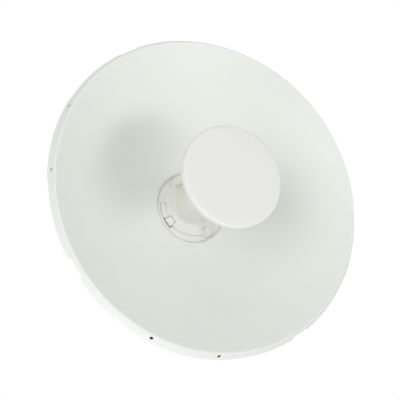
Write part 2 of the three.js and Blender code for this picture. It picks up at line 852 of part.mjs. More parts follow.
// The feed, which turns a little to unlock, and its two lock tabs.
const feedGroup = new THREE.Group();
atVertex.add(feedGroup);
addPiece(feedGroup, "feed_base", feedBase(), feedPlastic);
const postSeat = feed.lobeTop + gap;
addPiece(feedGroup, "feed_post_upper", feedPost(), feedPlastic, 0, postSeat, feed.postTurnRadius);
addPiece(feedGroup, "feed_post_lower", feedPost(), feedPlastic, 0, postSeat, -feed.postTurnRadius);
addPiece(feedGroup, "feed_tube", feedTube(), feedPlastic);
addPiece(feedGroup, "feed_seal", feedSeal(), rubber);
addPiece(feedGroup, "feed_board", feedBoard(), boardGreen);
addPiece(feedGroup, "shield_can", shieldCan(), zincSteel);
addPiece(feedGroup, "feed_horn", feedHorn(), aluminium);
addPiece(feedGroup, "dielectric_cone", dielectricCone(), clearPlastic);
addPiece(feedGroup, "subreflector_plate", subreflectorPlate(), aluminium);
addPiece(feedGroup, "subreflector_housing", subreflectorHousing(), discPlastic);
addPiece(feedGroup, "subreflector_cover", subreflectorCover(), discPlastic);
addPiece(feedGroup, "lock_tab_left", lockTabBody(), feedPlastic);
addPiece(feedGroup, "lock_tab_right", lockTabBody(), feedPlastic).rotation.y = Math.PI;

export default bridge;
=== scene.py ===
import bpy
import json
import math
from mathutils import Matrix, Vector


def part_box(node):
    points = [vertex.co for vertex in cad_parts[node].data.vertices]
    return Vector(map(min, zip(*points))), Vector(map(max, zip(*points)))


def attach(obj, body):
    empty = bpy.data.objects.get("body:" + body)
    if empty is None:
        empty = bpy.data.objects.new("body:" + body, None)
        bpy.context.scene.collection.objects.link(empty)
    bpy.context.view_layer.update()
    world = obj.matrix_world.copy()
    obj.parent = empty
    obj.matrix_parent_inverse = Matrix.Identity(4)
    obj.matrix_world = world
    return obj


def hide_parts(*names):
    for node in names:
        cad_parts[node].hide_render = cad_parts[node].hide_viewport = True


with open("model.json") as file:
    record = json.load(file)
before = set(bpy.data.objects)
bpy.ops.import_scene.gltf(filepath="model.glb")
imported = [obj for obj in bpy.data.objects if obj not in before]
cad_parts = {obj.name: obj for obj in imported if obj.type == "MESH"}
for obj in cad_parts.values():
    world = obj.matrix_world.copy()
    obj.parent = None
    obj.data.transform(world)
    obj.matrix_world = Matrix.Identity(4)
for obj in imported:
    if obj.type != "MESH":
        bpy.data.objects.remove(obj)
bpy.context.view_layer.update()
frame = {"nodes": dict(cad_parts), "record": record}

mm = 0.001
weldDistance = 0.004 * mm
dishSheet = 1.6
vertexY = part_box("reflector_dish")[1][1] - dishSheet * mm  # the dish's vertex, on the front of its floor
poleForward = vertexY / mm  # add this to a distance from the pole to get one from the vertex
print("frame loaded")


def clearSelection():
    if bpy.context.mode != "OBJECT":
        bpy.ops.object.mode_set(mode="OBJECT")
    bpy.ops.object.select_all(action="DESELECT")


def takePiece(name):
    piece = bpy.context.object
    piece.name = name
    piece.data.name = name
    return piece


def settle(piece):
    # leaves the piece at the origin, with its place in its mesh
    clearSelection()
    piece.select_set(True)
    bpy.context.view_layer.objects.active = piece
    bpy.ops.object.transform_apply(location=True, rotation=True, scale=True)
    return piece


def tidyMesh(piece):
    # welds the mesh and turns its faces outwards
    settle(piece)
    bpy.ops.object.mode_set(mode="EDIT")
    bpy.ops.mesh.select_all(action="SELECT")
    bpy.ops.mesh.remove_doubles(threshold=weldDistance)
    bpy.ops.mesh.normals_make_consistent(inside=False)
    bpy.ops.object.mode_set(mode="OBJECT")
    return piece


def smooth(piece, degrees=32):
    settle(piece)
    bpy.ops.object.shade_smooth_by_angle(angle=math.radians(degrees))
    return piece


def soften(piece, width, segments=2, limit=30):
    # rounds every edge sharper than the limit
    settle(piece)
    bevel = piece.modifiers.new("edges", "BEVEL")
    bevel.width = width * mm
    bevel.segments = segments
    bevel.limit_method = "ANGLE"
    bevel.angle_limit = math.radians(limit)
    bevel.harden_normals = False
    bpy.ops.object.modifier_apply(modifier=bevel.name)
    return piece


def combine(piece, tool, operation="DIFFERENCE"):
    # cuts, joins or intersects a piece with a tool, which is used up
    settle(piece)
    boolean = piece.modifiers.new("cut", "BOOLEAN")
    boolean.operation = operation
    boolean.solver = "EXACT"
    boolean.object = tool
    bpy.ops.object.modifier_apply(modifier=boolean.name)
    bpy.data.objects.remove(tool)
    return piece


def joined(pieces, name):
    clearSelection()
    for piece in pieces:
        piece.select_set(True)
    bpy.context.view_layer.objects.active = pieces[0]
    if len(pieces) > 1:
        bpy.ops.object.join()
    return takePiece(name)


def copied(piece, name):
    twin = piece.copy()
    twin.data = piece.data.copy()
    twin.name = name
    bpy.context.collection.objects.link(twin)
    return twin


def moved(piece, offset=(0, 0, 0), turn=0, axis="Y", about=(0, 0, 0)):
    # turns a settled piece about a point, then shifts it, all in its mesh
    spin = Matrix.Translation(Vector(about)) @ Matrix.Rotation(math.radians(turn), 4, axis)
    piece.data.transform(Matrix.Translation(Vector(offset)) @ spin @ Matrix.Translation(-Vector(about)))
    return piece


def at(radius, forward, turn=180):
    # a place by its radius and turn about the dish's axis and its distance in front of the vertex, in mm
    angle = math.radians(turn)
    return Vector((-radius * math.cos(angle) * mm, vertexY - forward * mm, radius * math.sin(angle) * mm))


def arcPoints(middle, radius, start, end, count):
    steps = [math.radians(start + (end - start) * i / count) for i in range(count + 1)]
    return [(middle[0] + radius * math.cos(a), middle[1] + radius * math.sin(a)) for a in steps]


def walked(name, places):
    # a closed loop of edges drawn vertex by vertex, left selected in edit mode
    clearSelection()
    bpy.ops.mesh.primitive_plane_add(size=mm, location=places[0])
    piece = takePiece(name)
    bpy.ops.object.mode_set(mode="EDIT")
    bpy.ops.mesh.select_mode(type="VERT")
    bpy.ops.mesh.select_all(action="SELECT")
    bpy.ops.mesh.merge(type="CENTER")
    for before, after in zip(places, places[1:] + places[:1]):
        bpy.ops.mesh.extrude_region_move(TRANSFORM_OT_translate={"value": after - before})
    bpy.ops.mesh.select_all(action="SELECT")
    return piece


def spun(name, profile, steps=128):
    # a body of revolution about the dish's axis from a closed outline of (radius, forward) in mm
    piece = walked(name, [at(radius, forward) for radius, forward in profile])
    bpy.ops.mesh.spin(steps=steps, angle=2 * math.pi, center=(0, 0, 0), axis=(0, 1, 0))
    return tidyMesh(piece)


def sectorBlock(name, inner, outer, fromTurn, toTurn, back, front, steps=24):
    # a block between two radii and two turns about the dish's axis
    clearSelection()
    bpy.ops.mesh.primitive_plane_add(size=1, location=at((inner + outer) / 2, (back + front) / 2, 0))
    piece = takePiece(name)
    piece.scale = ((outer - inner) * mm, (front - back) * mm, 1)
    settle(piece)
    moved(piece, turn=fromTurn)
    bpy.ops.object.mode_set(mode="EDIT")
    bpy.ops.mesh.select_all(action="SELECT")
    sweep = math.radians(toTurn - fromTurn)
    bpy.ops.mesh.spin(steps=steps, angle=-sweep, center=(0, 0, 0), axis=(0, 1, 0))
    return tidyMesh(piece)


def roundBar(name, radius, back, front, radialPlace, turn, sides=48):
    # a short round bar along the dish's axis, standing at a radius and turn
    clearSelection()
    middle = at(radialPlace, (back + front) / 2, turn)
    bpy.ops.mesh.primitive_cylinder_add(
        vertices=sides,
        radius=radius * mm,
        depth=(front - back) * mm,
        location=middle,
        rotation=(math.pi / 2, 0, 0),
    )
    return settle(takePiece(name))


class Wire:
    # a shader socket that takes arithmetic with numbers and other wires
    def __init__(self, tree, socket):
        self.tree = tree
        self.socket = socket

    def maths(self, operation, other, swapped=False):
        node = self.tree.nodes.new("ShaderNodeMath")
        node.operation = operation
        ends = (other, self) if swapped else (self, other)
        for slot, end in zip(node.inputs, ends):
            if isinstance(end, Wire):
                self.tree.links.new(end.socket, slot)
            else:
                slot.default_value = end
        return Wire(self.tree, node.outputs[0])

    def __add__(self, other):
        return self.maths("ADD", other)

    __radd__ = __add__

    def __mul__(self, other):
        return self.maths("MULTIPLY", other)

    __rmul__ = __mul__

    def __sub__(self, other):
        return self.maths("SUBTRACT", other)

    def __rsub__(self, other):
        return self.maths("SUBTRACT", other, swapped=True)


class Finish:
    # a material under construction; node() adds any node and returns its output as a wire
    def __init__(self, name):
        self.material = bpy.data.materials.new(name)
        self.material.use_nodes = True
        self.tree = self.material.node_tree
        self.shader = self.tree.nodes["Principled BSDF"]
        self.place = self.node("ShaderNodeTexCoord", output="Object")

    def node(self, kind, settings=None, output=0, **sockets):
        node = self.tree.nodes.new(kind)
        for key, value in (settings or {}).items():
            if key == "stops":
                ramp = node.color_ramp
                while len(ramp.elements) < len(value):
                    ramp.elements.new(0.5)
                for element, (position, grey) in zip(ramp.elements, value):
                    element.position = position
                    element.color = (grey, grey, grey, 1)
            else:
                setattr(node, key, value)
        self.feed(node, sockets)
        return Wire(self.tree, node.outputs[output])

    def feed(self, node, sockets):
        # a socket goes by its name, or by i and its number where names repeat
        for key, value in sockets.items():
            numbered = key[0] == "i" and key[1:].isdigit()
            slot = node.inputs[int(key[1:]) if numbered else key.replace("_", " ")]
            if isinstance(value, Wire):
                self.tree.links.new(value.socket, slot)
            else:
                slot.default_value = value

    def noise(self, scale, detail=3, stretch=None):
        place = self.place
        if stretch:
            place = self.node("ShaderNodeMapping", Vector=place, Scale=stretch)
        return self.node("ShaderNodeTexNoise", output="Fac", Vector=place, Scale=scale, Detail=detail)

    def tint(self, amount, light, dark):
        return self.node(
            "ShaderNodeMix", {"data_type": "RGBA"}, output=2, i0=amount, i6=(*light, 1), i7=(*dark, 1)
        )

    def relief(self, height, depth, strength=1.0):
        return self.node("ShaderNodeBump", Height=height, Distance=depth * mm, Strength=strength)

    def set(self, **sockets):
        self.feed(self.shader, sockets)
        return self.material


def paintedMetal(name, light, dark, roughness, peel):
    finish = Finish(name)
    cloud = finish.noise(9, 4)
    orangePeel = finish.noise(420, 2)
    grain = finish.noise(2600, 2)
    return finish.set(
        Base_Color=finish.tint(cloud, light, dark),
        Roughness=roughness - 0.05 + 0.1 * cloud,
        Normal=finish.relief(orangePeel + 0.35 * grain, peel),
        Specular_IOR_Level=0.45,
    )


def mouldedPlastic(name, light, dark, roughness, texture, grainScale=1500):
    finish = Finish(name)
    cloud = finish.noise(22, 4)
    spark = finish.noise(grainScale, 4)
    return finish.set(
        Base_Color=finish.tint(cloud, light, dark),
        Roughness=roughness - 0.06 + 0.12 * spark,
        Normal=finish.relief(spark, texture),
        Specular_IOR_Level=0.45,
    )


def platedSteel(name, light, dark, roughness):
    finish = Finish(name)
    patch = finish.noise(160, 5)
    rubbed = finish.noise(500, 3, stretch=(1, 0.06, 1))
    return finish.set(
        Base_Color=finish.tint(patch, light, dark),
        Metallic=1.0,
        Roughness=roughness - 0.1 + 0.22 * rubbed,
        Normal=finish.relief(rubbed, 0.01),
    )


def plainRubber(name):
    finish = Finish(name)
    bloom = finish.noise(90, 4)
    return finish.set(
        Base_Color=finish.tint(bloom, (0.028, 0.028, 0.029), (0.05, 0.05, 0.052)),
        Roughness=0.7 + 0.2 * bloom,
        Normal=finish.relief(finish.noise(1800, 3), 0.02),
    )


def circuitBoard(name):
    finish = Finish(name)
    bricks = {"Vector": finish.place, "Scale": 210.0, "Mortar_Size": 0.08}
    tracks = finish.node("ShaderNodeTexBrick", {"offset": 0.3}, output="Fac", **bricks)
    return finish.set(
        Base_Color=finish.tint(tracks, (0.02, 0.13, 0.06), (0.05, 0.24, 0.11)),
        Roughness=0.35 + 0.15 * tracks,
        Normal=finish.relief(tracks, 0.03),
    )


def clearPlastic(name, tintColour, alpha):
    finish = Finish(name)
    haze = finish.noise(120, 3)
    return finish.set(
        Base_Color=finish.tint(haze, tintColour, tuple(0.9 * part for part in tintColour)),
        Roughness=0.08 + 0.12 * haze,
        Alpha=alpha,
        IOR=1.49,
    )


finishes = {
    "dish_paint": paintedMetal("dishPaint", (0.80, 0.815, 0.775), (0.775, 0.79, 0.75), 0.5, 0.02),
    "feed_plastic": mouldedPlastic("feedPlastic", (0.765, 0.765, 0.715), (0.74, 0.74, 0.69), 0.45, 0.015),
    "disc_plastic": mouldedPlastic("discPlastic", (0.785, 0.79, 0.77), (0.765, 0.77, 0.75), 0.42, 0.012),
    "housing_plastic": mouldedPlastic(
        "housingPlastic", (0.80, 0.805, 0.78), (0.77, 0.775, 0.75), 0.5, 0.03, 1100
    ),
    "bracket_paint": paintedMetal("bracketPaint", (0.52, 0.535, 0.54), (0.47, 0.485, 0.49), 0.48, 0.04),
    "zinc_steel": platedSteel("zincSteel", (0.66, 0.67, 0.69), (0.55, 0.565, 0.60), 0.34),
    "aluminium": platedSteel("aluminium", (0.80, 0.81, 0.82), (0.72, 0.73, 0.74), 0.38),
    "rubber": plainRubber("rubber"),
    "circuit_board": circuitBoard("circuitBoard"),
    "black_plastic": mouldedPlastic(
        "blackPlastic", (0.022, 0.022, 0.024), (0.035, 0.035, 0.037), 0.45, 0.02
    ),
    # painted light: a lighter copy of the housing plastic, which lifts the shade in the front plate's
    # window recess
    "front_plastic": mouldedPlastic("frontPlasticPaintedLight", (0.90, 0.895, 0.84), (0.875, 0.87, 0.815), 0.5, 0.02),
    "clear_plastic": clearPlastic("clearPlastic", (0.80, 0.92, 0.86), 0.55),
    "level_liquid": clearPlastic("levelLiquid", (0.46, 0.68, 0.12), 0.96),
    "gold_contacts": platedSteel("goldContacts", (0.86, 0.62, 0.22), (0.78, 0.55, 0.18), 0.25),
}


def dress(piece, slot, body, *nodes):
    # gives a finished piece its material and its body, and says which CAD nodes it stands for
    piece.data.materials.clear()
    piece.data.materials.append(finishes[slot])
    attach(piece, body)
    if nodes:
        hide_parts(*nodes)
    return piece


for entry in frame["record"]["subparts"]:
    node = frame["nodes"][entry["node"]]
    node.data.materials.clear()
    node.data.materials.append(finishes[entry["material_slot"]])
print("materials made")

view = {
    "lens": 69.6,
    "clipStart": 0.01,
    "behindLip": 82.5,  # the lip's plane is this far in front of the vertex
    "place": (-497.0, -831.8, -58.4),
    "right": (0.7601, -0.3941, -0.5168),
    "up": (0.4262, -0.2980, 0.8541),
    "floorHeight": -0.95,
    "floorSize": 2.4,
    "floorFade": 0.25,  # where the fade begins, as a share of half the floor's size
}


def placeCamera():
    clearSelection()
    bpy.ops.object.camera_add()
    camera = bpy.context.object
    right = Vector(view["right"]).normalized()
    up = Vector(view["up"])
    up = (up - up.dot(right) * right).normalized()
    turn = Matrix((right, up, right.cross(up))).transposed()
    lipMiddle = Vector((0, vertexY - view["behindLip"] * mm, 0))
    camera.matrix_world = Matrix.Translation(lipMiddle + Vector(view["place"]) * mm) @ turn.to_4x4()
    camera.data.lens = view["lens"]
    camera.data.clip_start = view["clipStart"]
    bpy.context.scene.camera = camera


lamps = {
    "left": {"place": (-1.12, -1.42, 0.5), "size": 1.1, "power": 10.1},
    "right": {"place": (0.49, -1.32, -1.21), "size": 1.0, "power": 18.2},
    "top": {"place": (0.5, -1.2, 1.3), "size": 1.4, "power": 2.3},
    "low": {"place": (-1.3, -0.15, -0.8), "size": 1.2, "power": 8},
    "rear": {"place": (0.6, 1.6, 1.2), "size": 1.5, "power": 9},
}
studio = {"ambient": 0.57, "backdrop": 1.0}


def placeLights():
    for name, lamp in lamps.items():
        clearSelection()
        bpy.ops.object.light_add(type="AREA", location=lamp["place"])
        light = bpy.context.object
        light.name = name + "Light"
        light.data.size = lamp["size"]
        light.data.energy = lamp["power"]
        target = Vector((0, vertexY, 0))
        light.rotation_euler = (target - Vector(lamp["place"])).to_track_quat("-Z", "Y").to_euler()


def makeWorld():
    # soft surrounding light, with a white backdrop behind the object
    world = bpy.data.worlds.new("studio")
    world.use_nodes = True
    tree = world.node_tree
    background = tree.nodes["Background"]
    background.inputs["Color"].default_value = (1, 1, 1, 1)
    path = tree.nodes.new("ShaderNodeLightPath")
    strength = tree.nodes.new("ShaderNodeMapRange")
    strength.inputs["To Min"].default_value = studio["ambient"]
    strength.inputs["To Max"].default_value = studio["backdrop"]
    tree.links.new(path.outputs["Is Camera Ray"], strength.inputs["Value"])
    tree.links.new(strength.outputs["Result"], background.inputs["Strength"])
    bpy.context.scene.world = world
    bpy.context.scene.view_settings.view_transform = "Standard"


def placeFloor():
    # a pale floor that fades out to the eye towards its edges, so that no corner of it shows;
    # for light it stays whole
    clearSelection()
    bpy.ops.mesh.primitive_plane_add(size=view["floorSize"], location=(0, 0, view["floorHeight"]))
    floor = takePiece("floor")
    paint = Finish("floorPaint")
    level = paint.node("ShaderNodeVectorMath", {"operation": "MULTIPLY"}, i0=paint.place, i1=(1, 1, 0))
    reach = paint.node("ShaderNodeVectorMath", {"operation": "LENGTH"}, output="Value", i0=level)
    fade = paint.node(
        "ShaderNodeMapRange",
        {"interpolation_type": "SMOOTHSTEP"},
        Value=reach,
        From_Min=view["floorFade"] * view["floorSize"] / 2,
        From_Max=view["floorSize"] / 2,
        To_Min=0.0,
        To_Max=1.0,
    )
    seen = paint.node("ShaderNodeLightPath", output="Is Camera Ray")
    floor.data.materials.append(
        paint.set(Base_Color=(0.93, 0.93, 0.93, 1), Roughness=0.8, Alpha=1 - fade * seen)
    )


placeCamera()
placeLights()
makeWorld()
placeFloor()
print("camera, lights and floor placed")

dish = {
    "focalLength": 124,
    "lipRadius": 202.3,
    "rimRadius": 210,
    "rimDrop": 8.1,
    "sheet": dishSheet,
    "recessRadius": 49.7,
    "recessBend": 1.2,
    "floorRadius": 46.5,
    "boreRadius": 29.9,
    "beadRadius": 0.7,
    "rings": 44,
    "holeRadius": 2.25,  # the rim's screw holes
    "holeTurn": 12,
    "holeInset": 3.4,
    "notchTurn": 3.5,
    "notchDepth": 3.6,
    "padTurn": 15,
    "padDepth": 0.8,
}
lockSlot = {"inner": 32, "outer": 43.4, "from": -14, "to": 37}
rimInserts = {
    "radius": 3.5,
    "length": 3.4,
    "wall": 1.2,
    "setBack": 2.9,
    "upperDepth": 0.5,
    "lowerDepth": 2.6,
}


def dishForward(radius):
    return radius**2 / (4 * dish["focalLength"])


def dishBack(radius):
    slope = radius / (2 * dish["focalLength"])
    length = math.hypot(1, slope)
    return radius + dish["sheet"] * slope / length, dishForward(radius) - dish["sheet"] / length


def makeDishShell():
    lip, recess, sheet = dish["lipRadius"], dish["recessRadius"], dish["sheet"]
    floorEnd, bore = dish["floorRadius"], dish["boreRadius"]
    bend, beadRadius = dish["recessBend"], dish["beadRadius"]
    lipForward = dishForward(lip)
    rimBack = lipForward - dish["rimDrop"]
    ringTop = dishForward(recess)
    radii = [recess + (lip - recess) * i / dish["rings"] for i in range(dish["rings"] + 1)]
    floor = [(bore, 0), (floorEnd - 0.8, 0)]
    wall = arcPoints((floorEnd - 0.8, bend), bend, -80, -15, 4)
    wall += arcPoints((recess + 0.9, ringTop - 1.25), bend, 165, 115, 4)
    bowl = [(radius, dishForward(radius)) for radius in radii[1:]]
    bead = arcPoints((lip + 1.05, lipForward - 0.1), beadRadius, 150, 85, 4)
    bead += arcPoints((lip + 1.9, lipForward - 0.1), beadRadius, 80, 10, 5)
    rim = [(dish["rimRadius"] - 0.05, rimBack + 0.1)]
    rim += arcPoints((dish["rimRadius"] - 0.65, rimBack - 0.1), 0.6, -10, -130, 4)
    back = [(lip + 0.9, lipForward - 1.5)] + [dishBack(radius) for radius in reversed(radii[1:-1])]
    hub = [(recess + 1.6, ringTop - sheet), (floorEnd + 1, -sheet), (bore, -sheet)]
    piece = spun("dish", floor + wall + bowl + bead + rim + back + hub, steps=224)
    deepenRim(piece)
    return piece


def deepenRim(piece):
    # draws the rim's free edge out between the two holes of each quarter
    bpy.ops.object.mode_set(mode="EDIT")
    bpy.ops.mesh.select_all(action="DESELECT")
    bpy.ops.object.mode_set(mode="OBJECT")
    for vertex in piece.data.vertices:
        place = vertex.co
        turn = math.degrees(math.atan2(place.z, -place.x)) % 90
        outside = math.hypot(place.x, place.z) > (dish["rimRadius"] - 1.6) * mm
        vertex.select = outside and abs(turn - 45) < dish["padTurn"]
    bpy.ops.object.mode_set(mode="EDIT")
    grow = 1 + dish["padDepth"] / dish["rimRadius"]
    bpy.ops.transform.resize(value=(grow, 1, grow), center_override=(0, 0, 0))
    bpy.ops.transform.translate(value=(0, dish["padDepth"] * mm, 0))
    bpy.ops.object.mode_set(mode="OBJECT")


def rimHoleTurns(quarters):
    # two holes in each quarter that starts at the given turns
    return [turn + 45 + side * dish["holeTurn"] for turn in quarters for side in (-1, 1)]


def rimHolePlace(turn):
    # a hole's middle on the turned-back rim, and the way it faces
    middle = dishForward(dish["lipRadius"]) - dish["rimDrop"] / 2
    place = at(dish["rimRadius"] - dish["holeInset"], middle, turn)
    outward = at(dish["rimDrop"], dish["rimRadius"] - dish["lipRadius"], turn) - at(0, 0, turn)
    return place, outward.normalized()


def rimHoleTool(turn):
    clearSelection()
    place, outward = rimHolePlace(turn)
    bpy.ops.mesh.primitive_cylinder_add(
        vertices=32, radius=dish["holeRadius"] * mm, depth=7 * mm, location=place
    )
    tool = bpy.context.object
    tool.rotation_euler = outward.to_track_quat("Z", "Y").to_euler()
    return settle(tool)


def makeDish():
    piece = makeDishShell()
    rimBack = dishForward(dish["lipRadius"]) - dish["rimDrop"]
    notchTop = rimBack + dish["notchDepth"]
    inner, outer, half = dish["lipRadius"] + 1.6, dish["rimRadius"] + 4, dish["notchTurn"]
    tools = []
    for turn in (0, 90, 180, 270):
        tools += [rimHoleTool(holeTurn) for holeTurn in rimHoleTurns((turn,))]
        tools.append(sectorBlock("notch", inner, outer, turn - half, turn + half, rimBack - 4, notchTop, 8))
    for turn in (0, 180):
        start, end = turn + lockSlot["from"], turn + lockSlot["to"]
        tools.append(sectorBlock("slot", lockSlot["inner"], lockSlot["outer"], start, end, -4, 4))
    combine(piece, joined(tools, "dishTools"))
    smooth(piece, 28)
    return dress(piece, "dish_paint", "head", "reflector_dish")


def rimInsert(turn, deep):
    # a round plug with a blind hole in its outer end
    place, outward = rimHolePlace(turn)
    clearSelection()
    bpy.ops.mesh.primitive_cylinder_add(
        vertices=28, radius=rimInserts["radius"] * mm, depth=rimInserts["length"] * mm, location=(0, 0, 0)
    )
    insert = takePiece("insert")
    bpy.ops.object.mode_set(mode="EDIT")
    bpy.ops.mesh.select_mode(type="FACE")
    bpy.ops.mesh.select_all(action="DESELECT")
    bpy.ops.object.mode_set(mode="OBJECT")
    for side in insert.data.polygons:
        side.select = side.normal.z > 0.9
    bpy.ops.object.mode_set(mode="EDIT")
    bpy.ops.mesh.inset(thickness=rimInserts["wall"] * mm)
    bpy.ops.mesh.extrude_region_move(TRANSFORM_OT_translate={"value": (0, 0, -deep * mm)})
    bpy.ops.object.mode_set(mode="OBJECT")
    insert.rotation_euler = outward.to_track_quat("Z", "Y").to_euler()
    insert.location = place - outward * rimInserts["setBack"] * mm
    return settle(insert)


def makeRimInserts(name, quarters, slot, deep):
    # blind inserts behind the rim's holes, for a cover's screws: nearly full above, hollow below; their
    # colour is painted light and shade by where they sit, pale above and black below
    inserts = [rimInsert(turn, deep) for turn in rimHoleTurns(quarters)]
    return dress(smooth(joined(inserts, name), 35), slot, "head")


makeDish()
# painted light and shade: the upper inserts are pale so that the upper holes look lit, the lower ones black
# so that the lower holes look dark
makeRimInserts("upperRimInsertsPaintedLight", (0, 90), "feed_plastic", rimInserts["upperDepth"])
makeRimInserts("lowerRimInsertsPaintedShade", (180, 270), "black_plastic", rimInserts["lowerDepth"])
print("dish made")

feed = {
    "flangeRadius": 38.8,
    "flangeBack": 0.3,
    "collarRadius": 29.5,
    "collarBack": -9.5,
    "tubeRadius": 25.1,
    "windowRadius": 35.4,
    "earRadius": 43.1,
    "earSheet": 0.8,
    "neckRadius": 24,  # the tube steps in to this where it leaves the base
    "tipRadius": 20,
    "tubeFront": 118,
    "wall": 2,
    "lobeRadius": 7.7,
    "lobeTop": 3.9,
    "bossRadius": 6.4,
    "bossTop": 4.9,
    "postPlace": 38.3,  # the posts' distance from the dish's axis
    "postRadius": 4.4,
    "postTop": 10.4,
    "footRadius": 5.6,
    "footTop": 5.9,
}
lockTab = {"from": -12, "to": 6, "inner": 32.6, "outer": 42, "top": 3.8, "hookFrom": -19.5, "room": 0.25}


def makeFeedBase():
    # a collar with a seal groove, a flat flange with two lobes, and a lip that meets the tube
    bore, neck, back = feed["tubeRadius"] + 0.3, feed["neckRadius"], feed["flangeBack"]
    flange, collar, collarBack = feed["flangeRadius"], feed["collarRadius"], feed["collarBack"]
    profile = [(bore, collarBack + 0.5), (bore + 0.5, collarBack), (collar - 0.5, collarBack)]
    profile += [(collar, collarBack + 0.5), (collar, -7), (collar - 1.5, -7), (collar - 1.5, -5)]
    profile += [(collar, -5), (collar, back), (flange, back)]
    profile += arcPoints((flange - 0.9, 2.4), 0.9, 0, 80, 5)
    profile += [(33, 3.9), (28, 4.7)] + arcPoints((26.2, 5.5), 0.6, -80, -160, 3)
    profile += arcPoints((24.9, 6.6), 0.7, 0, 85, 5) + [(neck - 0.2, 7.4), (neck - 0.2, 5.6), (bore, 4.6)]
    piece = spun("feedBase", profile, steps=160)
    for turn in (90, 270):
        lobe = roundBar("lobe", feed["lobeRadius"], back, feed["lobeTop"], feed["postPlace"], turn, 56)
        combine(piece, soften(lobe, 0.7, 3), "UNION")
        boss = roundBar("boss", feed["bossRadius"], 3, feed["bossTop"], feed["postPlace"], turn)
        combine(piece, soften(boss, 0.5, 3), "UNION")
    window, ear, outside = feed["windowRadius"], feed["earRadius"], 60
    for turn in (0, 180):
        start, middle, end = turn + lockTab["from"] - 0.5, turn + lockTab["to"] + 0.5, turn + lockSlot["to"]
        room = sectorBlock("tabRoom", lockTab["inner"] - lockTab["room"], outside, start, middle, -2, 12)
        combine(piece, room)
        combine(piece, sectorBlock("window", window, outside, middle - 0.2, end, -2, 12))
        # a thin ear that covers the slot beside the tab
        cover = sectorBlock("ear", window - 1, ear, middle + 0.7, end - 0.3, back, back + feed["earSheet"])
        combine(piece, cover, "UNION")
    smooth(piece, 34)
    return dress(piece, "feed_plastic", "feed", "feed_base")


def makeFeedPost(name, node, turn):
    # a round peg with a softened top, on its foot
    post = roundBar(name, feed["postRadius"], feed["bossTop"], feed["postTop"], feed["postPlace"], turn)
    foot = roundBar("foot", feed["footRadius"], feed["bossTop"], feed["footTop"], feed["postPlace"], turn)
    combine(soften(post, 0.4, 3), soften(foot, 0.4, 3), "UNION")
    smooth(post, 40)
    return dress(post, "feed_plastic", "feed", node)


def makeLockTab(name, node, body, half):
    # a raised thumb pad with a step round its crown and a hook behind the dish's floor
    inner, outer, top = lockTab["inner"], lockTab["outer"], lockTab["top"]
    start, end, hookStart = (half + lockTab[key] for key in ("from", "to", "hookFrom"))
    stem = soften(sectorBlock(name, inner, outer, start, end, -3.9, top - 0.8, 12), 0.35, 2, 50)
    crown = sectorBlock("crown", inner + 1, outer - 1, start + 2, end - 2, 0, top, 10)
    combine(stem, soften(crown, 0.45, 3, 50), "UNION")
    hook = sectorBlock("hook", inner + 0.1, outer - 0.1, hookStart, start + 1, -3.8, -2.0, 8)
    combine(stem, hook, "UNION")
    smooth(stem, 40)
    return dress(stem, "feed_plastic", body, node)


def makeFeedTube():
    base, neck, tip = feed["tubeRadius"], feed["neckRadius"], feed["tipRadius"]
    wall, front = feed["wall"], feed["tubeFront"]
    profile = [(base, -7.6), (base, 4), (neck, 5.5)]
    profile += [(neck + (tip - neck) * i / 12, 6 + (front - 6.5) * i / 12) for i in range(13)]
    profile += [(tip - 0.4, front), (tip - wall, front)]
    profile += [(base - wall, 6), (base - wall, -8), (base - 0.5, -8)]
    piece = smooth(spun("feedTube", profile, steps=128), 40)
    return dress(piece, "feed_plastic", "feed", "feed_tube")


makeFeedBase()
makeFeedPost("upperPost", "feed_post_upper", 90)
makeFeedPost("lowerPost", "feed_post_lower", 270)
makeLockTab("leftTab", "lock_tab_left", "left_tab", 0)
makeLockTab("rightTab", "lock_tab_right", "right_tab", 180)
makeFeedTube()
print("feed made")

disc = {
    "radius": 65,
    "front": 135.3,
    "back": 126.3,
    "edge": 3.4,
    "wall": 1.8,
    "dome": 0.5,
    "gateTurn": -92.5,  # a small moulding mark near the edge
    "gateRadius": 0.9,
    "gateInset": 4.2,
    "gateDepth": 0.35,
    "funnelRadius": 34,  # the rear housing turns from throat to flat cone here
    "funnelBack": 121.5,
}


def makeDiscCover():
    radius, front, edge, wall = disc["radius"], disc["front"], disc["edge"], disc["wall"]
    seam = disc["back"] + 2.5
    inside = radius - wall
    profile = [(inside, seam), (radius - 0.3, seam)]
    profile += arcPoints((radius - 0.3, seam + 0.3), 0.3, -60, 0, 3)
    profile += arcPoints((radius - edge, front - edge), edge, 0, 84, 10)
    for i in range(1, 9):
        share = 1 - i / 8
        profile.append(((radius - edge) * share, front + disc["dome"] * (1 - share**2)))
    profile += [(0, front + disc["dome"] - wall), (radius - edge, front - wall), (inside, front - edge)]
    piece = spun("discCover", profile, steps=192)
    place, bottom = radius - disc["gateInset"], front - disc["gateDepth"]
    gate = roundBar("gate", disc["gateRadius"], bottom, front + 3, place, disc["gateTurn"], 24)
    combine(piece, gate)
    smooth(piece, 40)
    return dress(piece, "disc_plastic", "feed", "subreflector_cover")


def makeDiscHousing():
    # the funnel behind the disc, with a rounded throat and an edge that meets the cover
    tip, front, edge, back = feed["tipRadius"], feed["tubeFront"], disc["radius"] - 0.2, disc["back"]
    funnel, funnelBack = disc["funnelRadius"], disc["funnelBack"]
    profile = [(tip + 0.9, front - 7.6), (tip + 1.2, front - 8), (tip + 2.1, front - 8)]
    profile += [(tip + 2.4, front - 7.7), (tip + 2.6, front - 1)]
    profile += arcPoints((tip + 5.6, front - 0.6), 3, 188, 100, 6)
    profile += [(funnel, funnelBack), (edge - 0.7, back - 0.1)]
    profile += arcPoints((edge - 0.6, back + 0.6), 0.6, -80, 0, 4)
    profile += [(edge, back + 2.2), (edge - 1.8, back + 2.2), (funnel, funnelBack + 1.6)]
    profile += [(tip + 1, front + 1.4), (tip + 0.3, front + 0.3)]
    piece = smooth(spun("discHousing", profile, steps=192), 40)
    return dress(piece, "disc_plastic", "feed", "subreflector_housing")


makeDiscCover()
makeDiscHousing()
print("sub-reflector made")


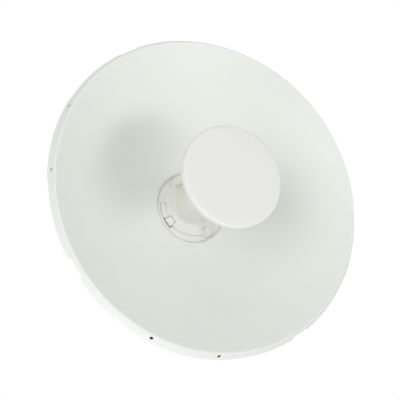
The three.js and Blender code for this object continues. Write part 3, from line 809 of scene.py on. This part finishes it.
def outlined(name, places, depth):
    # a flat outline, filled and extruded by depth
    piece = walked(name, places)
    bpy.ops.mesh.remove_doubles(threshold=weldDistance)
    bpy.ops.mesh.edge_face_add()
    bpy.ops.mesh.extrude_region_move(TRANSFORM_OT_translate={"value": depth})
    return tidyMesh(piece)


def box(name, low, high):
    # low and high are (x, forward from the vertex, z) in mm
    clearSelection()
    middle = [(a + b) / 2 * mm for a, b in zip(low, high)]
    bpy.ops.mesh.primitive_cube_add(size=1, location=(middle[0], vertexY - middle[1], middle[2]))
    piece = takePiece(name)
    piece.scale = [abs(b - a) * mm for a, b in zip(low, high)]
    return settle(piece)


def barAlong(name, axis, radius, start, end, x=0, forward=0, z=0, sides=40):
    # a bar along x, y (start and end are then forward distances) or z
    clearSelection()
    turn = {"x": (0, math.pi / 2, 0), "y": (math.pi / 2, 0, 0), "z": (0, 0, 0)}[axis]
    middle = {"x": x, "y": forward, "z": z}
    middle[axis] = (start + end) / 2
    place = (middle["x"] * mm, vertexY - middle["y"] * mm, middle["z"] * mm)
    bpy.ops.mesh.primitive_cylinder_add(
        vertices=sides, radius=radius * mm, depth=abs(end - start) * mm, location=place, rotation=turn
    )
    return settle(takePiece(name))


def roundedOutline(width, height, corner, steps=8):
    points = []
    for signX, signY, start in ((1, 1, 0), (-1, 1, 90), (-1, -1, 180), (1, -1, 270)):
        middle = (signX * (width / 2 - corner), signY * (height / 2 - corner))
        points += arcPoints(middle, corner, start, start + 90, steps)
    return points


# the next three lay flat points out in space: on a plane across the dish's axis, across x, or level
def facing(points, forward):
    return [Vector((x * mm, vertexY - forward * mm, z * mm)) for x, z in points]


def sideways(points, x):
    return [Vector((x * mm, vertexY - forward * mm, z * mm)) for forward, z in points]


def level(points, z):
    return [Vector((x * mm, vertexY - forward * mm, z * mm)) for x, forward in points]


def copyOfNode(name, nodeName, bevel, segments=2):
    # a welded copy of a CAD piece with its flat faces cleared and its edges rounded
    clearSelection()
    piece = copied(frame["nodes"][nodeName], name)
    piece.parent = None
    piece.matrix_world = Matrix.Identity(4)
    settle(piece)
    bpy.ops.object.mode_set(mode="EDIT")
    bpy.ops.mesh.select_all(action="SELECT")
    bpy.ops.mesh.remove_doubles(threshold=weldDistance)
    bpy.ops.mesh.dissolve_limited(angle_limit=math.radians(1))
    bpy.ops.object.mode_set(mode="OBJECT")
    return soften(piece, bevel, segments, 28)


housing = {
    "width": 112,
    "height": 150,
    "corner": 16,
    "front": -1.9,
    "plate": 3,
    "seam": 1.3,
    "back": -30,
    "wall": 2.4,
    "edge": 3.2,
    "ribs": (34, 39.5, 45, 50.5),
    "ribHeight": 1.1,
    "ribWidth": 1.8,
    "postRadius": 5,
    "screwX": 46,
    "screwZ": 65,
}
door = {"half": 19.5, "top": -42, "wayDepth": 15, "wayHeight": 3.4}
button = {"x": 30, "z": -58, "radius": 2.15, "way": 2.5, "collar": 3.4, "proud": 0.6, "front": -14}
lightGuide = {
    "x": -27,
    "z": -58,
    "half": 3.7,
    "halfHeight": 1.2,
    "room": 0.3,
    "front": -12.9,
    "windows": 4,
    "pitch": 1.85,
}
# the socket's contacts, each from low to high in (forward, z)
contact = {"count": 8, "pitch": 1.02, "half": 0.2, "low": (-26.6, -48.5), "high": (-26.1, -36)}


def doorWays():
    # the door's opening in the rear face, and the cable's way out at the bottom
    half, back, bottom = door["half"], housing["back"], -housing["height"] / 2
    rear = box("doorWay", (-half, back - 2, bottom - 2), (half, back + housing["wall"] + 1, door["top"]))
    low, high = (-half, back - 2, bottom - 2), (half, back + door["wayDepth"], bottom + door["wayHeight"])
    return [rear, box("bottomWay", low, high)]


def lightWay():
    # the light guide's opening, with a little room round it
    x, z, back = lightGuide["x"], lightGuide["z"], housing["back"]
    half, tall = lightGuide["half"] + lightGuide["room"], lightGuide["halfHeight"] + lightGuide["room"]
    return box("lightWay", (x - half, back - 2, z - tall), (x + half, back + 4, z + tall))


def buttonWay():
    back = housing["back"]
    return barAlong("buttonWay", "y", button["way"], back - 2, back + 4, button["x"], 0, button["z"])


def makeHousingShell():
    width, height, corner, back = (housing[key] for key in ("width", "height", "corner", "back"))
    wall = housing["wall"]
    rim = housing["front"] - housing["plate"] - housing["seam"]
    outside = facing(roundedOutline(width, height, corner, 14), back)
    shell = outlined("rearHousing", outside, Vector((0, (back - rim) * mm, 0)))
    roundBackEdge(shell, vertexY - back * mm, housing["edge"])
    inside = facing(roundedOutline(width - 2 * wall, height - 2 * wall, corner - wall, 14), back + wall)
    combine(shell, outlined("inside", inside, Vector((0, (back + wall - rim - 2) * mm, 0))))
    posts, bores = [], []
    for x, z in cornersOf(housing["screwX"], housing["screwZ"]):
        posts.append(barAlong("post", "y", housing["postRadius"], back + 1, rim, x, 0, z, 32))
        bores.append(barAlong("bore", "y", 2.3, back - 2, rim + 2, x, 0, z, 32))
        bores.append(barAlong("bore", "y", 4.4, back - 2, back + 3, x, 0, z, 48))
    for post in posts:
        combine(shell, post, "UNION")
    for bore in bores:
        combine(shell, bore)
    for way in doorWays() + [lightWay(), buttonWay()]:
        combine(shell, way)
    for side in (-1, 1):
        for x in housing["ribs"]:
            half = 42 if x > 48 else 46  # the outermost rib is shorter, clear of the corners
            low = (side * x - housing["ribWidth"] / 2, back - housing["ribHeight"], -half + 4)
            high = (side * x + housing["ribWidth"] / 2, back + 0.5, half + 6)
            combine(shell, soften(box("rib", low, high), 0.5, 3), "UNION")
    smooth(shell, 32)
    return dress(shell, "housing_plastic", "head", "rear_housing")


def roundBackEdge(piece, backPlane, width):
    # rounds the long edge round the rear face
    settle(piece)
    bpy.ops.object.mode_set(mode="EDIT")
    bpy.ops.mesh.select_all(action="DESELECT")
    bpy.ops.mesh.select_mode(type="EDGE")
    bpy.ops.object.mode_set(mode="OBJECT")
    vertices = piece.data.vertices
    for edge in piece.data.edges:
        edge.select = all(abs(vertices[i].co.y - backPlane) < 0.01 * mm for i in edge.vertices)
    bpy.ops.object.mode_set(mode="EDIT")
    bpy.ops.mesh.bevel(offset=width * mm, segments=6, profile=0.5)
    bpy.ops.mesh.select_mode(type="VERT")
    bpy.ops.object.mode_set(mode="OBJECT")


def cornersOf(x, z):
    return ((-x, z), (x, z), (-x, -z), (x, -z))


def makeHousingFront():
    # its front_plastic is a lighter copy of the housing plastic: painted light in the shaded window recess
    piece = copyOfNode("housingFront", "housing_front", 0.5)
    smooth(piece, 32)
    return dress(piece, "front_plastic", "head", "housing_front")


def makeCableDoor():
    piece = copyOfNode("cableDoor", "cable_door", 0.35)
    smooth(piece, 32)
    return dress(piece, "housing_plastic", "door", "cable_door")


def makeSocket():
    # the network socket, with gold contacts in its mouth
    piece = copyOfNode("networkSocket", "ethernet_jack", 0.25)
    smooth(piece, 32)
    dress(piece, "black_plastic", "head", "ethernet_jack")
    contacts = []
    for i in range(contact["count"]):
        x = (i - (contact["count"] - 1) / 2) * contact["pitch"]
        low, high = (x - contact["half"], *contact["low"]), (x + contact["half"], *contact["high"])
        contacts.append(box("contact", low, high))
    return dress(smooth(joined(contacts, "socketContacts"), 30), "gold_contacts", "head")


def makeButton():
    # a stem through the rear wall, with a collar inside that keeps it in
    seat, rear = housing["back"] + housing["wall"] + 0.3, housing["back"] - button["proud"]
    x, z = button["x"], button["z"]
    stem = soften(barAlong("resetButton", "y", button["radius"], rear, button["front"], x, 0, z), 0.4, 3)
    combine(stem, barAlong("collar", "y", button["collar"], seat, seat + 1.4, x, 0, z), "UNION")
    smooth(stem, 32)
    return dress(stem, "rubber", "button", "reset_button")


def makeLightGuide():
    # small windows in one strip, with a groove between each two
    middle, z, back = lightGuide["x"], lightGuide["z"], housing["back"]
    half, tall, windows = lightGuide["half"], lightGuide["halfHeight"], lightGuide["windows"]
    low, high = (middle - half, back + 0.1, z - tall), (middle + half, lightGuide["front"], z + tall)
    strip = soften(box("lightGuide", low, high), 0.3, 2)
    for i in range(1, windows):
        x = middle + (i - windows / 2) * lightGuide["pitch"]
        combine(strip, box("split", (x - 0.15, back - 1, z - 2), (x + 0.15, back + 0.8, z + 2)))
    smooth(strip, 32)
    return dress(strip, "clear_plastic", "head", "light_guide")


makeHousingShell()
makeHousingFront()
makeCableDoor()
makeSocket()
makeButton()
makeLightGuide()
print("housing made")

screw = {"radius": 2, "pitch": 0.7, "threadDepth": 0.3, "crossWidth": 0.9, "crossDepth": 1.6}
# each set's head radius and length, where its heads sit, and its places in x and z
screwSets = {
    "housing_screw": {
        "head": 3.9,
        "length": 14,
        "seat": housing["back"] + 3 - 0.3,
        "places": (housing["screwX"], housing["screwZ"]),
    },
    "yoke_screw": {"head": 4.2, "length": 3, "seat": housing["back"] - 3.6, "places": (16, 36)},
    "dish_screw": {
        "head": 4,
        "length": 6,
        "seat": housing["front"] - housing["plate"] - 0.3,
        "places": (40, 40),
    },
}


def makePanScrew(name, head, length):
    # a cross-recessed pan-head screw, modelled on the dish's axis with its seat at the vertex
    radius, pitch, depth, crown = screw["radius"], screw["pitch"], screw["threadDepth"], -0.62 * head
    profile = [(0, crown), (0.35 * head, -0.6 * head), (0.68 * head, -0.5 * head)]
    profile += [(0.9 * head, -0.34 * head), (head, -0.16 * head), (head, 0), (radius, 0)]
    for i in range(int(length / pitch) - 1):
        start = pitch * i + 0.5
        profile += [(radius, start), (radius - depth, start + 0.25), (radius, start + 0.5)]
    profile += [(radius - 0.4, length), (0, length)]
    piece = spun(name, profile, steps=28)
    width = screw["crossWidth"] / 2
    for wide, tall in ((-crown, width), (width, -crown)):
        combine(piece, box("cross", (-wide, crown - 1, -tall), (wide, crown + screw["crossDepth"], tall)))
    return smooth(piece, 36)


def placeScrews():
    for nodeName, size in screwSets.items():
        first = makePanScrew(nodeName, size["head"], size["length"])
        for i, (x, z) in enumerate(cornersOf(*size["places"])):
            screwCopy = copied(first, f"{nodeName}Piece{i + 1}")
            moved(screwCopy, (x * mm, -size["seat"] * mm, z * mm))
            dress(screwCopy, "zinc_steel", "head", f"{nodeName}_{i + 1}")
        bpy.data.objects.remove(first)


# places along the carriage bolts are distances in front of the pole's axis
bolt = {
    "radius": 4,
    "pitch": 1.25,
    "threadDepth": 0.62,
    "spacing": 44,
    "seat": 34.3,
    "threadStart": 2,
    "end": -58,
}


def threadedLength(radius, start, end, pitch, depth):
    # a zigzag down the side of a shank, from start towards end
    count = int(abs(start - end) / pitch)
    points = []
    for i in range(count):
        forward = start - i * pitch
        points += [(radius, forward), (radius, forward - 0.2 * pitch)]
        points.append((radius - depth, forward - 0.6 * pitch))
    return points


def makeCarriageBolts():
    radius, seat, end = bolt["radius"], bolt["seat"] + poleForward, bolt["end"] + poleForward
    head = [(0, seat + 4.8), (3.3, seat + 4.5), (6.2, seat + 3.5)]
    head += [(8.2, seat + 2), (9.3, seat + 0.6), (9.3, seat)]
    threadStart = bolt["threadStart"] + poleForward
    thread = threadedLength(radius, threadStart, end + 1.2, bolt["pitch"], bolt["threadDepth"])
    profile = head + [(radius, seat)] + thread + [(radius - 0.5, end + 1), (radius - 1.1, end), (0, end)]
    first = spun("carriageBolt", profile, steps=36)
    smooth(first, 36)
    for side, x in (("left", -bolt["spacing"]), ("right", bolt["spacing"])):
        piece = moved(copied(first, f"{side}CarriageBolt"), (x * mm, 0, 0))
        dress(piece, "zinc_steel", "pole_mount", f"carriage_bolt_{side}")
    bpy.data.objects.remove(first)


def hexagonBar(name, axis, flat, start, end, **place):
    # a hexagonal bar with the corners of both ends turned off
    bar = barAlong(name, axis, flat, start, end, sides=6, **place)
    turning = soften(barAlong("turning", axis, flat - 0.05, start, end, sides=48, **place), 0.75, 2)
    return combine(bar, turning, "INTERSECT")


flangeNut = {"bore": 4.3, "flange": 9, "hexagon": 7.5, "height": 8}


def makeFlangeNuts():
    top, bore, flange = poleForward - bolt["seat"], flangeNut["bore"], flangeNut["flange"]
    profile = [(bore, top), (flange - 0.3, top), (flange, top - 0.3)]
    profile += [(flange, top - 1), (7, top - 2), (bore, top - 2)]
    first = spun("flangeNut", profile, 48)
    hexagon = hexagonBar("hexagon", "y", flangeNut["hexagon"], top - flangeNut["height"], top - 1)
    combine(first, hexagon, "UNION")
    combine(first, barAlong("bore", "y", bore, top - 12, top + 4))
    smooth(first, 32)
    for side, x in (("left", -bolt["spacing"]), ("right", bolt["spacing"])):
        piece = moved(copied(first, f"{side}FlangeNut"), (x * mm, 0, 0))
        dress(piece, "zinc_steel", "jaw", f"clamp_nut_{side}")
    bpy.data.objects.remove(first)


# the pivot bolt, its nut and washer, and the lock bolts below it
pivot = {
    "forward": 50,
    "height": 14,
    "outer": 31.9,
    "hexagon": 7.4,
    "shank": 4,
    "bore": 4.3,
    "washer": 8.4,
    "lockDrop": 26,
    "lockHexagon": 5.8,
    "lockShank": 3,
    "lockBore": 3.3,
    "lockWasher": 7.6,
    "lockNut": (19.7, 24.7),
}


def makePivotHardware():
    forward, z, outer = pivot["forward"] + poleForward, pivot["height"], pivot["outer"]
    piece = hexagonBar("pivotBolt", "x", pivot["hexagon"], -outer - 5.3, -outer, forward=forward, z=z)
    shank = soften(barAlong("shank", "x", pivot["shank"], -outer - 1, outer + 9, 0, forward, z), 0.5, 2)
    combine(piece, shank, "UNION")
    dress(smooth(piece, 32), "zinc_steel", "pole_mount", "pivot_bolt")
    nut = hexagonBar("pivotNut", "x", pivot["hexagon"], outer, outer + 6.5, forward=forward, z=z)
    combine(nut, barAlong("washer", "x", pivot["washer"], outer, outer + 1.2, 0, forward, z, 48), "UNION")
    combine(nut, barAlong("bore", "x", pivot["bore"], outer - 4, outer + 12, 0, forward, z))
    dress(smooth(nut, 32), "zinc_steel", "pole_mount", "pivot_nut")


def makeLockHardware():
    forward, z = pivot["forward"] + poleForward, pivot["height"] - pivot["lockDrop"]
    hexagon = pivot["lockHexagon"]
    for side, sign in (("right", 1), ("left", -1)):
        near = sign * pivot["outer"]
        washer = barAlong("washer", "x", pivot["lockWasher"], near, near + sign * 1.4, 0, forward, z, 48)
        piece = soften(washer, 0.25, 2)
        head = hexagonBar("head", "x", hexagon, near + sign, near + sign * 5.6, forward=forward, z=z)
        combine(piece, head, "UNION")
        shank = barAlong("shank", "x", pivot["lockShank"], sign * 18, near + sign, 0, forward, z, 32)
        combine(piece, shank, "UNION")
        piece.name = f"{side}LockBolt"
        dress(smooth(piece, 32), "zinc_steel", "head", f"lock_bolt_{side}")
        nutStart, nutEnd = (sign * place for place in pivot["lockNut"])
        nut = hexagonBar(f"{side}LockNut", "x", hexagon, nutStart, nutEnd, forward=forward, z=z)
        combine(nut, barAlong("bore", "x", pivot["lockBore"], sign * 10, sign * 30, 0, forward, z, 32))
        dress(smooth(nut, 32), "zinc_steel", "head", f"lock_nut_{side}")


placeScrews()
makeCarriageBolts()
makeFlangeNuts()
makePivotHardware()
makeLockHardware()
print("fasteners made")

bracket = {
    "halfHeight": 38,
    "mouth": 7,
    "apex": 28.01,
    "halfMouth": 36.4,
    "edge": 0.55,
    "teeth": 9,
    "teethStart": 9,
    "toothPitch": 2.6,
    "toothDepth": 1.2,
    "earFace": 31.3,
}
tiltMarks = {"inner": 13.5, "outer": 17.5, "width": 0.6, "depth": 0.35, "step": 5, "count": 3}
bubble = {
    "x": 40,
    "forward": 19,
    "bodyRadius": 7,
    "bodyHeight": 6.4,
    "vialRadius": 4.7,
    "vialTop": 7.2,
    "ringRadius": 2.3,
    "ringHole": 1.9,
    "airRadius": 1.5,
    "airShift": 0.3,  # the bubble sits a little off the middle
}


def toothComb(side, half):
    # a zigzag tool for the teeth along one edge of the V, through both flanges
    pitch, depth = bracket["toothPitch"], bracket["toothDepth"]
    along = Vector((bracket["halfMouth"], bracket["apex"] - bracket["mouth"])).normalized()
    inward = Vector((-along.y, along.x))
    start = Vector((-bracket["halfMouth"], bracket["mouth"])) + along * bracket["teethStart"]
    points = [start - inward * 1.5]
    for i in range(bracket["teeth"]):
        points.append(start + along * pitch * i - inward * 0.05)
        points.append(start + along * pitch * (i + 0.5) + inward * depth)
    end = start + along * pitch * bracket["teeth"]
    points += [end - inward * 0.05, end - inward * 1.5]
    outline = [(side * point.x, half * point.y + poleForward) for point in points]
    low = -bracket["halfHeight"] - 2
    return outlined("comb", level(outline, low), Vector((0, 0, -2 * low * mm)))


def tiltMark(side, angle):
    # a short engraved line beside the tilt slot
    away = Vector((math.sin(math.radians(angle)), -math.cos(math.radians(angle))))
    across = Vector((-away.y, away.x)) * tiltMarks["width"] / 2
    middle = Vector((pivot["forward"] + poleForward, pivot["height"]))
    inner, outer = middle + away * tiltMarks["inner"], middle + away * tiltMarks["outer"]
    corners = [inner - across, outer - across, outer + across, inner + across]
    face = side * (bracket["earFace"] - tiltMarks["depth"])
    return outlined("mark", sideways(corners, face), Vector((side * 3 * mm, 0, 0)))


def makeClampHalf(name, nodeName, half, body):
    piece = copyOfNode(name, nodeName, bracket["edge"])
    for side in (-1, 1):
        combine(piece, toothComb(side, half))
    if half > 0:
        count = tiltMarks["count"]
        for side in (-1, 1):
            for i in range(-count, count + 1):
                combine(piece, tiltMark(side, i * tiltMarks["step"]))
    smooth(piece, 32)
    return dress(piece, "bracket_paint", body, nodeName)


def makeYoke():
    piece = smooth(copyOfNode("tiltYoke", "tilt_yoke", bracket["edge"]), 32)
    return dress(piece, "bracket_paint", "head", "tilt_yoke")


def makeLevel():
    # a round bubble level: a body, a domed vial with its ring, and the bubble
    x, forward, base = bubble["x"], bubble["forward"] + poleForward, bracket["halfHeight"] + 0.3
    top = base + bubble["vialTop"]
    body = barAlong("levelBody", "z", bubble["bodyRadius"], base, base + bubble["bodyHeight"], x, forward)
    soften(body, 0.8, 3)
    combine(body, barAlong("well", "z", bubble["vialRadius"] + 0.2, base + 1.5, top + 3, x, forward))
    dress(smooth(body, 32), "black_plastic", "pole_mount", "bubble_level")
    vial = barAlong("levelVial", "z", bubble["vialRadius"], base + 1.6, top, x, forward)
    dress(smooth(soften(vial, 1.7, 6), 40), "level_liquid", "pole_mount")
    ring = barAlong("levelRing", "z", bubble["ringRadius"], top - 0.6, top + 0.1, x, forward)
    combine(ring, barAlong("inside", "z", bubble["ringHole"], top - 2, top + 2, x, forward))
    dress(smooth(ring, 32), "black_plastic", "pole_mount")
    airPlace = x + bubble["airShift"]
    air = barAlong("levelBubble", "z", bubble["airRadius"], top - 0.6, top + 0.15, airPlace, forward)
    dress(smooth(soften(air, 0.3, 4), 50), "clear_plastic", "pole_mount")


makeClampHalf("poleBracket", "pole_bracket", 1, "pole_mount")
makeClampHalf("clampJaw", "clamp_jaw", -1, "jaw")
makeYoke()
makeLevel()
print("pole mount made")
